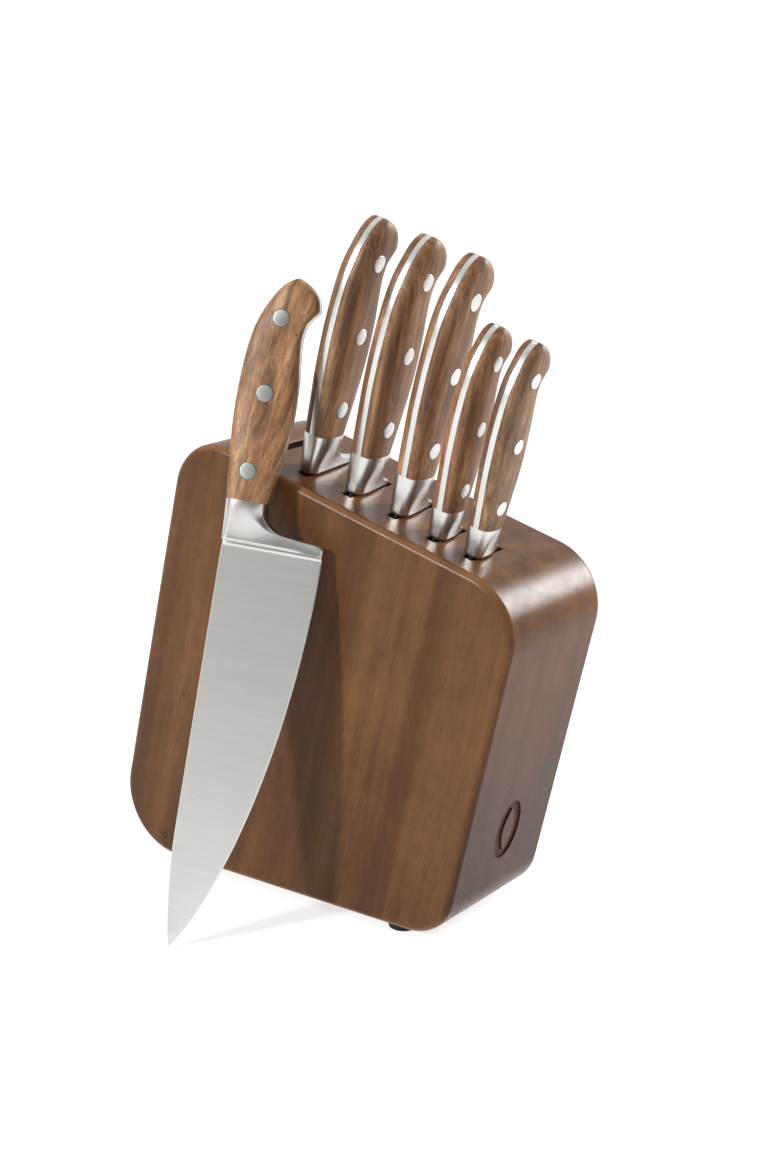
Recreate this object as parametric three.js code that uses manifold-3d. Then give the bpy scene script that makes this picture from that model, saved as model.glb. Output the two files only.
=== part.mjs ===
// Knife block with knives: a leaning wooden block glued up from seven staves, five knives
// standing in its slots and a chef's knife leaning against its front.
// Millimetres. +X right along the front, +Y towards the back, +Z up.
import * as THREE from 'three';
import { mergeVertices } from 'three/addons/utils/BufferGeometryUtils.js';
import Module from 'manifold-3d';

const wasm = await Module();
wasm.setup();

const rad = THREE.MathUtils.degToRad;

// ---------------------------------------------------------------- driving dimensions
const GAP = 0.3; // clearance between pieces that touch

const BLOCK = {
  bottomWidth: 224,
  rightSide: 192, // length of the right-hand side, before the corners are rounded
  lean: rad(13.6), // how far the two sides lean over from upright
  topSlope: rad(15.3), // how far the top falls towards the right
  depth: 83, // front face to back face
  cornerRadii: [34.5, 27.5, 31.5, 29], // bottom left, bottom right, top right, top left
  roundOver: 4, // rounding of the front and back edges
};

const FOOT = { height: 4, radius: 8, chamfer: 1 };
const FOOT_PLACES = {
  foot_front_left: [56, 12],
  foot_front_right: [192.5, 12],
  foot_back_left: [56, 65],
  foot_back_right: [192.5, 65],
};

// Slots: centres measured along the top from its upper left corner, from left to right, and
// front and back ends measured from the block's front face.
const SLOT_WIDTH = 5.6;
const SLOTS = [
  { centre: 42, front: 14.8, back: 68.8, depth: 214 }, // the chef's knife's own slot, left empty
  { centre: 69.5, front: 15, back: 62.8, depth: 190 },
  { centre: 97.5, front: 16.4, back: 51.8, depth: 214 },
  { centre: 125.5, front: 17.6, back: 52.4, depth: 214 },
  { centre: 152.5, front: 14.3, back: 42.3, depth: 142 },
  { centre: 174.5, front: 15, back: 42.3, depth: 102 },
];

const TANG_THICKNESS = 3;
const RIVET = { proud: 0.2, across: 0.4 }; // across: from the handle's middle line
const BLADE = { spineThickness: 2.4, edgeThickness: 0.5 };

// Two handle sizes. widthScale and length stretch the handle sections given further down, and
// tilt leans the handle away from the line of the blade's spine, towards the belly.
const LARGE_HANDLE = {
  widthScale: 1,
  length: 112.5,
  tilt: rad(3.2),
  halfThickness: 8.3,
  bolsterHeight: 21,
  flareFoot: 5, // height at which the flare reaches the heel
  rivetRadius: 4.3,
  rivets: [14.8, 53.8, 91.4],
};
const SMALL_HANDLE = {
  widthScale: 0.83,
  length: 94,
  tilt: rad(0.6),
  halfThickness: 7.2,
  bolsterHeight: 15.5,
  flareFoot: 3.5,
  rivetRadius: 3.75,
  rivets: [11.5, 43.8, 77],
};

// Blades. height is the blade's width at the bolster, tipAcross how far the tip lies from the
// spine line, spineStraight and edgeStraight the shares of the length that run straight.
const KNIVES = [
  {
    name: 'santoku_knife',
    handle: LARGE_HANDLE,
    slot: 1,
    centreY: 24,
    blade: { length: 178, height: 42.5, tipAcross: 34, spineStraight: 0.72, edgeStraight: 0.3 },
  },
  {
    name: 'bread_knife',
    handle: LARGE_HANDLE,
    slot: 2,
    centreY: 26.8,
    blade: { length: 203, height: 30, tipAcross: 20, spineStraight: 0.84, edgeStraight: 0.8 },
  },
  {
    name: 'carving_knife',
    handle: LARGE_HANDLE,
    slot: 3,
    centreY: 28,
    blade: { length: 203, height: 29.5, tipAcross: 5, spineStraight: 0.7, edgeStraight: 0.3 },
  },
  {
    name: 'utility_knife',
    handle: SMALL_HANDLE,
    slot: 4,
    centreY: 23,
    blade: { length: 130, height: 22.5, tipAcross: 7, spineStraight: 0.6, edgeStraight: 0.35 },
  },
  {
    name: 'paring_knife',
    handle: SMALL_HANDLE,
    slot: 5,
    centreY: 23.2,
    blade: { length: 90, height: 22, tipAcross: 10, spineStraight: 0.5, edgeStraight: 0.3 },
  },
];

const CHEF_KNIFE = {
  name: 'chef_knife',
  handle: LARGE_HANDLE,
  blade: { length: 208, height: 52, tipAcross: 6, spineStraight: 0.7, edgeStraight: 0.05 },
};
// It stands on its tip and leans back on the block's front top edge.
const CHEF_POSE = {
  tip: new THREE.Vector3(112, -80, 0.5),
  turn: rad(24), // of the blade's flat side away from facing straight forward
  tilt: rad(14.2), // backwards
  roll: rad(6.7), // sideways, in the plane of the blade
};

// ---------------------------------------------------------------- materials
const woodBlock = new THREE.MeshStandardMaterial({ color: 0x6f4c35, roughness: 0.45 });
const woodHandle = new THREE.MeshStandardMaterial({ color: 0x7a5236, roughness: 0.5 });
const steelBlade = new THREE.MeshStandardMaterial({ color: 0xb9bab6, metalness: 1, roughness: 0.32 });
const steelRivet = new THREE.MeshStandardMaterial({ color: 0xd0d0cd, metalness: 1, roughness: 0.25 });
const rubberFoot = new THREE.MeshStandardMaterial({ color: 0x171615, roughness: 0.85 });

// ---------------------------------------------------------------- solids
function toManifold(geometry, matrix) {
  const bare = geometry.clone();
  bare.deleteAttribute('normal');
  bare.deleteAttribute('uv');
  if (matrix) bare.applyMatrix4(matrix);
  const merged = mergeVertices(bare, 1e-4);
  return new wasm.Manifold(
    new wasm.Mesh({
      numProp: 3,
      vertProperties: new Float32Array(merged.attributes.position.array),
      triVerts: new Uint32Array(merged.index.array),
    }),
  );
}

function toGeometry(solid) {
  const mesh = solid.getMesh();
  const geometry = new THREE.BufferGeometry();
  geometry.setAttribute('position', new THREE.BufferAttribute(mesh.vertProperties, 3));
  geometry.setIndex(new THREE.BufferAttribute(mesh.triVerts, 1));
  geometry.computeVertexNormals();
  return geometry;
}

// A box given by its lowest and highest corners.
function box(low, high, matrix) {
  const size = high.map((value, i) => value - low[i]);
  const geometry = new THREE.BoxGeometry(...size);
  geometry.translate(...low.map((value, i) => value + size[i] / 2));
  return toManifold(geometry, matrix);
}

// A closed skin over rings of points, each ring running the same way round.
function loft(rings) {
  const count = rings[0].length;
  const points = rings.flat();
  const index = [];
  for (let r = 0; r < rings.length - 1; r += 1) {
    for (let i = 0; i < count; i += 1) {
      const a = r * count + i;
      const b = r * count + ((i + 1) % count);
      index.push(a, b, b + count, a, b + count, a + count);
    }
  }
  const last = (rings.length - 1) * count;
  for (let i = 1; i < count - 1; i += 1) {
    index.push(0, i + 1, i);
    index.push(last, last + i, last + i + 1);
  }
  const geometry = new THREE.BufferGeometry();
  geometry.setAttribute('position', new THREE.Float32BufferAttribute(points.flat(), 3));
  geometry.setIndex(index);
  return geometry;
}

function piece(name, geometry, material) {
  const mesh = new THREE.Mesh(geometry, material);
  mesh.name = name;
  return mesh;
}

// ---------------------------------------------------------------- block
const leanDirection = new THREE.Vector2(Math.sin(BLOCK.lean), Math.cos(BLOCK.lean));
const topDirection = new THREE.Vector2(Math.cos(BLOCK.topSlope), -Math.sin(BLOCK.topSlope));

// Corners of the front outline in the order of BLOCK.cornerRadii, before rounding.
function blockCorners() {
  const bottomLeft = new THREE.Vector2(0, FOOT.height);
  const bottomRight = new THREE.Vector2(BLOCK.bottomWidth, FOOT.height);
  const topRight = bottomRight.clone().addScaledVector(leanDirection, BLOCK.rightSide);
  const span = topRight.clone().sub(bottomLeft);
  const topLength = span.cross(leanDirection) / topDirection.cross(leanDirection);
  const topLeft = topRight.clone().addScaledVector(topDirection, -topLength);
  return [bottomLeft, bottomRight, topRight, topLeft];
}

// The outline with each corner replaced by an arc tangent to both of its sides.
function roundedOutline(corners, radii) {
  const shape = new THREE.Shape();
  corners.forEach((corner, i) => {
    const before = corners[(i + corners.length - 1) % corners.length];
    const after = corners[(i + 1) % corners.length];
    const toBefore = before.clone().sub(corner).normalize();
    const toAfter = after.clone().sub(corner).normalize();
    const halfAngle = Math.acos(toBefore.dot(toAfter)) / 2;
    const bisector = toBefore.clone().add(toAfter).normalize();
    const centre = corner.clone().addScaledVector(bisector, radii[i] / Math.sin(halfAngle));
    const reach = radii[i] / Math.tan(halfAngle);
    const from = corner.clone().addScaledVector(toBefore, reach).sub(centre);
    const to = corner.clone().addScaledVector(toAfter, reach).sub(centre);
    shape.absarc(centre.x, centre.y, radii[i], from.angle(), to.angle(), false);
  });
  return shape;
}

const corners = blockCorners();
const topLeftCorner = corners[3];

// Frame of the top: X along it to the right, Y to the back, Z square out of it.
const topFrame = new THREE.Matrix4()
  .makeBasis(
    new THREE.Vector3(topDirection.x, 0, topDirection.y),
    new THREE.Vector3(0, 1, 0),
    new THREE.Vector3(-topDirection.y, 0, topDirection.x),
  )
  .setPosition(topLeftCorner.x, 0, topLeftCorner.y);

function blockSolid() {
  const r = BLOCK.roundOver;
  const geometry = new THREE.ExtrudeGeometry(roundedOutline(corners, BLOCK.cornerRadii), {
    depth: BLOCK.depth - 2 * r,
    bevelThickness: r,
    bevelSize: r,
    bevelOffset: -r,
    bevelSegments: 2,
    curveSegments: 6,
  });
  const upright = new THREE.Matrix4()
    .makeBasis(new THREE.Vector3(1, 0, 0), new THREE.Vector3(0, 0, 1), new THREE.Vector3(0, -1, 0))
    .setPosition(0, BLOCK.depth - r, 0);
  return toManifold(geometry, upright);
}

// Each glue line lies along the left side of a slot, and the slot is a groove milled into the
// stave on its right.
function staves() {
  const whole = blockSolid();
  const far = 400;
  const glueLines = SLOTS.map((slot) => slot.centre - SLOT_WIDTH / 2);
  const lefts = [-far, ...glueLines.map((x) => x + GAP / 2)];
  const rights = [...glueLines.map((x) => x - GAP / 2), far];
  return lefts.map((left, i) => {
    let stave = whole.intersect(box([left, -far, -far], [rights[i], far, far], topFrame));
    if (i > 0) {
      const slot = SLOTS[i - 1];
      const groove = box(
        [left - 1, slot.front, -slot.depth],
        [slot.centre + SLOT_WIDTH / 2, slot.back, 1],
        topFrame,
      );
      stave = stave.subtract(groove);
    }
    return piece(`block_stave_${i + 1}`, toGeometry(stave), woodBlock);
  });
}

function feet() {
  const { radius, height, chamfer } = FOOT;
  const top = height - GAP;
  const profile = [
    [0, 0],
    [radius - chamfer, 0],
    [radius, chamfer],
    [radius, top],
    [0, top],
  ].map(([x, y]) => new THREE.Vector2(x, y));
  return Object.entries(FOOT_PLACES).map(([name, [x, y]]) => {
    const geometry = mergeVertices(new THREE.LatheGeometry(profile, 16).rotateX(Math.PI / 2));
    const foot = piece(name, geometry, rubberFoot);
    foot.position.set(x, y, 0);
    return foot;
  });
}

// ---------------------------------------------------------------- knives
// A knife's own frame: X across its thickness, Y from spine to edge, Z from tip to butt. Z = 0 is
// the foot of the bolster and Y = 0 the middle of the handle.
const sideways = new THREE.Matrix4().makeBasis(
  new THREE.Vector3(0, 1, 0),
  new THREE.Vector3(0, 0, 1),
  new THREE.Vector3(1, 0, 0),
);

// Sections of the handle up from the wood line, before scaling: height above the wood line,
// spine, belly, and share of the full thickness. The belly ends in a hooked beak at the butt.
const HANDLE_SECTIONS = [
  [-3, -8.4, 11.4, 0.9],
  [0, -8.9, 12, 0.95],
  [18, -11.6, 14, 0.98],
  [40, -14.4, 15.5, 1],
  [60, -15.4, 14.4, 1],
  [84, -13.8, 11.2, 1],
  [91.5, -12, 12.4, 1],
  [97.5, -9.4, 17, 0.98],
  [103, -6.6, 15.6, 0.96],
  [108, -3, 11.4, 0.89],
  [111, -0.2, 7.4, 0.76],
  [112.5, 1.8, 5, 0.56],
];
const HANDLE_LENGTH = HANDLE_SECTIONS.at(-1)[0];
const [, SPINE_AT_WOOD, BELLY_AT_WOOD, SHARE_AT_WOOD] = HANDLE_SECTIONS[1];
const SPINE_AT_BLADE = -6.9;
const BOLSTER_FOOT = { halfThickness: 4.6, point: 1.6 }; // where it rests on the block
const WOOD_POINT = 0.5;

// A section across a knife. Its flanks are flat and its ends round where point is small, and it
// is a lens with sharp ends where point is large. tilt shifts it along Y in step with its height.
function section({ spine, edge, halfThickness, point, z, tilt }) {
  const segments = 12;
  const middle = (spine + edge) / 2 + z * Math.tan(tilt);
  const halfWidth = (edge - spine) / 2;
  return Array.from({ length: segments }, (_, i) => {
    const angle = (2 * Math.PI * i) / segments;
    const sine = Math.sin(angle);
    const x = -halfThickness * Math.sign(sine) * Math.abs(sine) ** point;
    return [x, middle + halfWidth * Math.cos(angle), z];
  });
}

// The whole handle as one rounded solid, which the tang and the two scales are cut from.
function handleSolid(handle) {
  const { widthScale, length, bolsterHeight, tilt } = handle;
  const rings = HANDLE_SECTIONS.map(([height, spine, belly, share]) =>
    section({
      spine: spine * widthScale,
      edge: belly * widthScale,
      halfThickness: handle.halfThickness * share,
      point: WOOD_POINT,
      z: bolsterHeight + (height * length) / HANDLE_LENGTH,
      tilt,
    }),
  );
  return toManifold(loft(rings));
}

function sidewaysExtrusion(shape, thickness) {
  const settings = { depth: thickness, bevelEnabled: false, curveSegments: 8 };
  const geometry = new THREE.ExtrudeGeometry(shape, settings);
  geometry.translate(0, 0, -thickness / 2);
  return toManifold(geometry, sideways);
}

// Side view of the blade, from up inside the bolster down to the tip.
function bladeOutline(knife) {
  const { length, height, tipAcross, spineStraight, edgeStraight } = knife.blade;
  const spine = SPINE_AT_BLADE * knife.handle.widthScale;
  const edge = spine + height;
  const inset = 1;
  const root = knife.handle.flareFoot / 2;
  const tip = [spine + tipAcross, -length];
  const straightEnd = -length * spineStraight;
  const edgeEnd = -length * edgeStraight;
  const shape = new THREE.Shape();
  shape.moveTo(spine + inset, root);
  shape.lineTo(spine, 0);
  shape.lineTo(spine, straightEnd);
  shape.quadraticCurveTo(spine, straightEnd - (length + straightEnd) * 0.5, ...tip);
  const curved = length + edgeEnd;
  const nearTip = [spine + tipAcross * 0.4 + height * 0.6, edgeEnd - curved * 0.8];
  const nearHeel = [edge - height * 0.02, edgeEnd - curved * 0.38];
  shape.bezierCurveTo(...nearTip, ...nearHeel, edge, edgeEnd);
  shape.lineTo(edge, 0);
  shape.lineTo(edge - inset, root);
  return shape;
}

// Thins the blade from a quarter of its height down to the edge: a wedge along its whole length.
function bladeWedge(knife) {
  const spine = SPINE_AT_BLADE * knife.handle.widthScale;
  const edge = spine + knife.blade.height;
  const half = BLADE.spineThickness / 2;
  const thin = BLADE.edgeThickness / 2;
  const bevelStart = spine + knife.blade.height / 4;
  const wedge = new THREE.Shape();
  wedge.moveTo(-half, spine - 1);
  wedge.lineTo(half, spine - 1);
  wedge.lineTo(half, bevelStart);
  wedge.lineTo(thin, edge + 1);
  wedge.lineTo(-thin, edge + 1);
  wedge.lineTo(-half, bevelStart);
  const depth = knife.blade.length + 40;
  const geometry = new THREE.ExtrudeGeometry(wedge, { depth, bevelEnabled: false });
  geometry.translate(0, 0, -knife.blade.length - 10);
  return toManifold(geometry);
}

// The bolster's belly side follows a quarter ellipse out to the full height of the blade.
function bolster(knife) {
  const { widthScale, bolsterHeight, flareFoot, halfThickness, tilt } = knife.handle;
  const { lerp } = THREE.MathUtils;
  const spineTop = SPINE_AT_WOOD * widthScale;
  const spineFoot = SPINE_AT_BLADE * widthScale;
  const edgeTop = BELLY_AT_WOOD * widthScale;
  const edgeFoot = spineFoot + knife.blade.height;
  const ring = (z, edge) => {
    const share = z / bolsterHeight;
    return section({
      spine: lerp(spineFoot, spineTop, share),
      edge,
      halfThickness: lerp(BOLSTER_FOOT.halfThickness, halfThickness * SHARE_AT_WOOD, share),
      point: lerp(BOLSTER_FOOT.point, WOOD_POINT, share),
      z,
      tilt,
    });
  };
  const steps = 4;
  const rings = [ring(0, edgeFoot)];
  for (let i = steps; i >= 0; i -= 1) {
    const angle = (Math.PI / 2) * (i / steps);
    const z = bolsterHeight - (bolsterHeight - flareFoot) * Math.sin(angle);
    rings.push(ring(z, edgeFoot - (edgeFoot - edgeTop) * Math.cos(angle)));
  }
  return toManifold(loft(rings));
}

// A round pin across the handle, at a height above the bolster's foot.
function crossPin(handle, radius, halfLength, z) {
  const geometry = new THREE.CylinderGeometry(radius, radius, 2 * halfLength, 12);
  geometry.rotateZ(Math.PI / 2);
  geometry.translate(0, RIVET.across * handle.widthScale + z * Math.tan(handle.tilt), z);
  return toManifold(geometry);
}

function makeKnife(knife) {
  const { handle, name } = knife;
  const group = new THREE.Group();
  const far = 200;
  const rivetHeights = handle.rivets.map((z) => handle.bolsterHeight + z);
  const holeRadius = handle.rivetRadius + GAP;
  const holes = rivetHeights.map((z) => crossPin(handle, holeRadius, far, z));
  const drill = (solid) => holes.reduce((rest, hole) => rest.subtract(hole), solid);
  const wholeHandle = handleSolid(handle);

  const halfTang = TANG_THICKNESS / 2;
  const tang = wholeHandle.intersect(box([-halfTang, -far, -far], [halfTang, far, far]));
  const flat = sidewaysExtrusion(bladeOutline(knife), BLADE.spineThickness);
  const forging = flat.intersect(bladeWedge(knife)).add(bolster(knife)).add(tang);
  group.add(piece(`${name}_blade`, toGeometry(drill(forging)), steelBlade));

  const inner = halfTang + GAP;
  const foot = handle.bolsterHeight + GAP;
  const sides = {
    left: [[-far, -far, foot], [-inner, far, far]],
    right: [[inner, -far, foot], [far, far, far]],
  };
  for (const [side, [low, high]] of Object.entries(sides)) {
    const scale = wholeHandle.intersect(box(low, high));
    group.add(piece(`${name}_scale_${side}`, toGeometry(drill(scale)), woodHandle));
  }

  rivetHeights.forEach((z, i) => {
    const rivet = crossPin(handle, handle.rivetRadius, handle.halfThickness + RIVET.proud, z);
    group.add(piece(`${name}_rivet_${i + 1}`, toGeometry(rivet), steelRivet));
  });
  return group;
}

function slottedKnives() {
  const onTop = new THREE.Group();
  topFrame.decompose(onTop.position, onTop.quaternion, onTop.scale);
  for (const knife of KNIVES) {
    const group = makeKnife(knife);
    group.position.set(SLOTS[knife.slot].centre, knife.centreY, GAP);
    onTop.add(group);
  }
  return onTop;
}

function leaningKnife() {
  const { tip, turn, tilt, roll } = CHEF_POSE;
  const group = makeKnife(CHEF_KNIFE);
  const facing = new THREE.Vector3(
    Math.sin(turn) * Math.cos(tilt),
    -Math.cos(turn) * Math.cos(tilt),
    Math.sin(tilt),
  );
  const level = new THREE.Vector3(Math.cos(turn), Math.sin(turn), 0);
  const steepest = new THREE.Vector3().crossVectors(facing, level);
  const up = steepest.multiplyScalar(Math.cos(roll)).addScaledVector(level, Math.sin(roll));
  const across = new THREE.Vector3().crossVectors(up, facing);
  group.quaternion.setFromRotationMatrix(new THREE.Matrix4().makeBasis(facing, across, up));
  const { length, tipAcross } = CHEF_KNIFE.blade;
  const tipY = SPINE_AT_BLADE * CHEF_KNIFE.handle.widthScale + tipAcross;
  const tipOffset = new THREE.Vector3(0, tipY, -length).applyQuaternion(group.quaternion);
  group.position.copy(tip).sub(tipOffset);
  return group;
}

// ---------------------------------------------------------------- object
const object = new THREE.Group();
object.add(...staves(), ...feet(), slottedKnives(), leaningKnife());

// The origin is the middle of the object's footprint, at table height.
object.updateMatrixWorld(true);
const extent = new THREE.Box3().setFromObject(object, true);
const centre = extent.getCenter(new THREE.Vector3());
object.position.set(-centre.x, -centre.y, -extent.min.z);
object.updateMatrixWorld(true);

export default object;
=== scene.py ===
"""Looks of the knife block: wood, forged knives, rubber feet, floor, light and camera.

Lengths are in millimetres inside the builders below and become metres in make_object.
"""
import math

import bpy
import numpy as np
from mathutils import Matrix, Vector


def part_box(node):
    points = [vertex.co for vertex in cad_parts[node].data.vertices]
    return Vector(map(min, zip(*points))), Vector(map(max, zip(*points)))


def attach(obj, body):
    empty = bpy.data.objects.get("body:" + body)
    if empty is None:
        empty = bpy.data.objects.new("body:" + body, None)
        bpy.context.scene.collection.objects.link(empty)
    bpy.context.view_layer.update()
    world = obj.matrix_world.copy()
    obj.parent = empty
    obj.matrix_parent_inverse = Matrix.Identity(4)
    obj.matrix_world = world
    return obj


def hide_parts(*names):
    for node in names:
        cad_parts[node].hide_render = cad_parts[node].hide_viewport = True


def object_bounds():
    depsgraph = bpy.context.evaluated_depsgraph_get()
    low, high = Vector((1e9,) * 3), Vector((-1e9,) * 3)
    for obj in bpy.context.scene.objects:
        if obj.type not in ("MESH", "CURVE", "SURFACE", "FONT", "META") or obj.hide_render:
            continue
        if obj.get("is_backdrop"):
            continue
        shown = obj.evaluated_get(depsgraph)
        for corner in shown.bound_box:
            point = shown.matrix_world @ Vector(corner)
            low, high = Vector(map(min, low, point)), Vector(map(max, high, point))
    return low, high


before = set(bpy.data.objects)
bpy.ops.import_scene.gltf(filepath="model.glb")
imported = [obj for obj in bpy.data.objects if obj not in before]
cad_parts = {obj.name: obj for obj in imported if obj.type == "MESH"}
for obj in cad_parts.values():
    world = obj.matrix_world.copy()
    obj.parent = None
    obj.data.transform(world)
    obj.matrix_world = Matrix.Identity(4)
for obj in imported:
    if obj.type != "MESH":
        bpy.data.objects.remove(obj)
CAD_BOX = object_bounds()

MM = 0.001


def middle(node):
    low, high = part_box(node)
    return (Vector(low) + Vector(high)) / 2


# The block's own coordinates start at its lower left front corner. The front left foot tells
# where that corner lies in the shared frame.
FOOT = {"radius": 8.0, "height": 3.7}
FOOT_PLACES = {
    "foot_front_left": (56.0, 12.0),
    "foot_front_right": (192.5, 12.0),
    "foot_back_left": (56.0, 65.0),
    "foot_back_right": (192.5, 65.0),
}
foot_middle = middle("foot_front_left")
foot_x, foot_y = FOOT_PLACES["foot_front_left"]
ORIGIN = Vector((foot_middle.x - foot_x * MM, foot_middle.y - foot_y * MM, 0))
BLOCK_PLACE = Matrix.Translation(ORIGIN)


# ---------------------------------------------------------------- meshes
class Surface:
    """Vertices and faces gathered from grids, fans and rings, in millimetres."""

    def __init__(self):
        self.points = []
        self.faces = []
        self.slots = []

    def grid(self, rows, closed=False, slot=0):
        """Quads between rows of points. closed joins the last point of each row to its first."""
        start, count = len(self.points), len(rows[0])
        for row in rows:
            self.points.extend(tuple(map(float, p)) for p in row)
        steps = count if closed else count - 1
        for r in range(len(rows) - 1):
            for i in range(steps):
                a, b = start + r * count + i, start + r * count + (i + 1) % count
                self.faces.append((a, b, b + count, a + count))
                self.slots.append(slot)
        return start

    def cap(self, ring):
        """One face over a ring of points."""
        start = len(self.points)
        self.points.extend(tuple(map(float, p)) for p in ring)
        self.faces.append(tuple(range(start, start + len(ring))))
        self.slots.append(0)

    def loft(self, rings, slot=0):
        """A closed skin over rings, with a face at each end that shares the rings' vertices."""
        start, count = self.grid(rings, closed=True, slot=slot), len(rings[0])
        last = start + (len(rings) - 1) * count
        self.faces.append(tuple(range(start, start + count))[::-1])
        self.faces.append(tuple(range(last, last + count)))
        self.slots.extend([slot, slot])


def note_own_frame(mesh, place):
    """Keeps each point's place in the piece's own frame as the attribute "own", for the materials."""
    points = np.array([v.co for v in mesh.vertices])
    back = np.array(place.inverted())
    own = points @ back[:3, :3].T + back[:3, 3]
    attribute = mesh.attributes.new("own", "FLOAT_VECTOR", "POINT")
    attribute.data.foreach_set("vector", own.astype(np.float32).ravel())


def make_object(name, surface, materials, place=BLOCK_PLACE, sharp=math.radians(38)):
    """The mesh's points lie in the shared frame."""
    mesh = bpy.data.meshes.new(name)
    turned = np.array(place)
    placed = np.array(surface.points) * MM @ turned[:3, :3].T + turned[:3, 3]
    mesh.from_pydata(placed.tolist(), [], surface.faces)
    note_own_frame(mesh, place)
    for material in materials:
        mesh.materials.append(material)
    mesh.polygons.foreach_set("material_index", surface.slots)
    mesh.update()
    mesh.shade_smooth()
    mesh.set_sharp_from_angle(angle=sharp)
    obj = bpy.data.objects.new(name, mesh)
    bpy.context.scene.collection.objects.link(obj)
    return obj


def apply_modifiers(obj):
    bpy.context.view_layer.update()
    graph = bpy.context.evaluated_depsgraph_get()
    mesh = bpy.data.meshes.new_from_object(obj.evaluated_get(graph))
    obj.modifiers.clear()
    obj.data = mesh


def settle(obj, body, slot, *nodes):
    """The piece rides on a body and stands for CAD nodes, which it hides; slot is not used."""
    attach(obj, body)
    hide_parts(*nodes)
    return obj


def smooth_curve(xs, ys):
    """A smooth function through points that doesn't overshoot between them."""
    xs, ys = np.asarray(xs, float), np.asarray(ys, float)
    steps = np.diff(xs)
    slopes = np.diff(ys) / steps
    tangents = np.zeros(len(xs))
    tangents[0], tangents[-1] = slopes[0], slopes[-1]
    for i in range(1, len(xs) - 1):
        before, after = slopes[i - 1], slopes[i]
        if before * after > 0:
            first = 2 * steps[i] + steps[i - 1]
            second = steps[i] + 2 * steps[i - 1]
            tangents[i] = (first + second) / (first / before + second / after)

    def at(x):
        x = np.clip(x, xs[0], xs[-1])
        i = np.clip(np.searchsorted(xs, x) - 1, 0, len(steps) - 1)
        t = (x - xs[i]) / steps[i]
        return (
            (1 + 2 * t) * (1 - t) ** 2 * ys[i]
            + t * (1 - t) ** 2 * steps[i] * tangents[i]
            + t * t * (3 - 2 * t) * ys[i + 1]
            + t * t * (t - 1) * steps[i] * tangents[i + 1]
        )

    return at


def ease(t):
    return t * t * (3 - 2 * t)


# ---------------------------------------------------------------- materials
class Shader:
    """A node material built by short calls."""

    def __init__(self, name):
        self.material = bpy.data.materials.new(name)
        self.material.use_nodes = True
        self.tree = self.material.node_tree
        self.surface = self.tree.nodes["Principled BSDF"]

    def add(self, kind, settings=None, **inputs):
        node = self.tree.nodes.new(f"ShaderNode{kind}")
        for key, value in (settings or {}).items():
            setattr(node, key, value)
        for key, value in inputs.items():
            self.put(node.inputs[int(key[1:])] if key[0] == "_" else node.inputs[key], value)
        return node

    def put(self, socket, value):
        if isinstance(value, bpy.types.NodeSocket):
            self.tree.links.new(value, socket)
        else:
            socket.default_value = value

    def own_place(self):
        """The point in the piece's own frame, which moves with the piece."""
        return self.add("Attribute", {"attribute_name": "own"}).outputs["Vector"]

    def math(self, operation, a, b=0.0, clamp=False):
        settings = {"operation": operation, "use_clamp": clamp}
        return self.add("Math", settings, _0=a, _1=b).outputs[0]

    def place(self, vector, rotation=(0, 0, 0), scale=(1, 1, 1), shift=(0, 0, 0)):
        node = self.add("Mapping", None, Vector=vector)
        node.inputs["Location"].default_value = shift
        node.inputs["Rotation"].default_value = rotation
        node.inputs["Scale"].default_value = scale
        return node.outputs[0]

    def noise(self, vector, scale, detail=3.0, roughness=0.5, distortion=0.0):
        node = self.add("TexNoise", None, Vector=vector, Scale=scale, Detail=detail)
        node.inputs["Roughness"].default_value = roughness
        node.inputs["Distortion"].default_value = distortion
        return node.outputs[0]

    def ramp(self, factor, stops, interpolation="LINEAR"):
        """stops: (position, value or colour) pairs."""
        node = self.add("ValToRGB", None, Fac=factor)
        ramp = node.color_ramp
        ramp.interpolation = interpolation
        while len(ramp.elements) < len(stops):
            ramp.elements.new(1.0)
        for element, (position, value) in zip(ramp.elements, stops):
            element.position = position
            colour = (value,) * 3 if isinstance(value, (int, float)) else value
            element.color = (*colour, 1)
        return node.outputs[0]

    def mix(self, factor, a, b, blend="MIX"):
        node = self.add("Mix", {"data_type": "RGBA", "blend_type": blend})
        for socket, value in zip((node.inputs[0], node.inputs[6], node.inputs[7]), (factor, a, b)):
            self.put(socket, (*value, 1) if isinstance(value, tuple) else value)
        return node.outputs[2]

    def bump(self, height, strength, distance):
        return self.add("Bump", None, Height=height, Strength=strength, Distance=distance).outputs[0]

    def multiply(self, colour, factor):
        """The colour times another colour or a grey."""
        return self.mix(1.0, colour, factor, "MULTIPLY")

    def axis(self, vector, index):
        return self.add("SeparateXYZ", None, Vector=vector).outputs[index]

    def share(self, value, start, span):
        """How far a value has come from start along span, from 0 to 1."""
        return self.math("DIVIDE", self.math("SUBTRACT", value, start), span, clamp=True)


LEAN = math.radians(13.6)
TOP_SLOPE = math.radians(15.3)
STAVE_TONES = [0.97, 0.9, 1.04, 1.0, 0.93, 1.05, 0.95]
TOP_SPAN = 220  # along the top, a little more than its length
# The redder strip's lean, and its place across the block in the strip's own frame.
STRIP_LEAN = math.radians(11.3)
STRIP_AT = 0.1799
KNOT = (0.0369, 0.0, 0.015)
# Lighter colour of the rounded front and back edges: rubbed stain and a painted highlight.
WORN_WOOD_AND_HIGHLIGHT = (0.36, 0.17, 0.075)


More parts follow.
